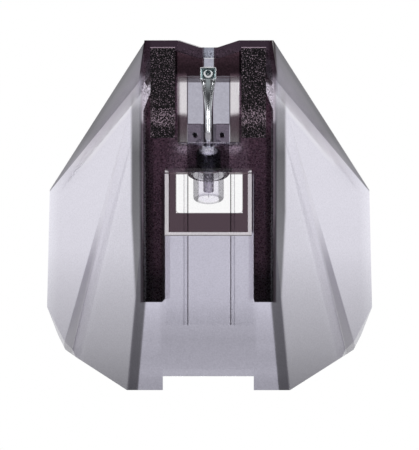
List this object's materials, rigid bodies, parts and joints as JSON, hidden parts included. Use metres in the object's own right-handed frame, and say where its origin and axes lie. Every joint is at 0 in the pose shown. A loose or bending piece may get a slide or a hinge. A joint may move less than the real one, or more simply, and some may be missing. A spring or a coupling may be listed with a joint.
{
  "type": "turntable stylus",
  "caption": "Moving-magnet replacement stylus: winged smoked housing shell, two-legged frame and a sprung cantilever with a diamond tip.",
  "frame": {"origin": "middle of the object's plan at the level of the open rim, on which it rests with the playing tip up", "axes": "+X across the wings, +Y from the rear towards the nose, +Z out of the flat plate on the record side"},
  "size_m": [0.0176, 0.0186, 0.0096],
  "materials": {
    "smoked_skin": "spark-eroded satin, translucent grey",
    "smoked_block": "translucent smoke, nearly black where thick",
    "smoked_clear": "polished, clear where thin and brown where thick",
    "clear_plastic": "polished clear",
    "steel": "fine turned",
    "silver_alloy": "bright drawn",
    "damper_rubber": "matt black",
    "magnet_alloy": "dull grey",
    "cement": "glossy cured cement",
    "diamond": "polished"
  },
  "bodies": {
    "housing": {"outer_shell": "smoked_skin", "inner_frame": "smoked_block", "guide_plate": "smoked_clear", "carrier_block": "smoked_block", "carrier_pin_left": "steel", "carrier_pin_right": "steel", "plug_tube": "clear_plastic", "bearing_sleeve": "steel", "wire_anchor": "clear_plastic"},
    "damper": {"damper_ring": "damper_rubber"},
    "cantilever": {"tie_wire": "steel", "magnet": "magnet_alloy", "armature_collar": "steel", "cantilever_tube": "silver_alloy", "tip_ferrule": "silver_alloy", "tip_cement": "cement", "diamond_tip": "diamond"}
  },
  "joints": [
    {"name": "vertical_compliance", "type": "hinge", "parent": "housing", "child": "damper", "pos_m": [0, 0.00273, 0.00725], "axis": [-1, 0, 0], "range_deg": [-2, 5], "stiffness_Nm_per_rad": 0.00125},
    {"name": "lateral_compliance", "type": "hinge", "parent": "damper", "child": "cantilever", "pos_m": [0, 0.00273, 0.00725], "axis": [0, -0.3746, 0.9272], "range_deg": [-4, 4], "stiffness_Nm_per_rad": 0.00125}
  ]
}
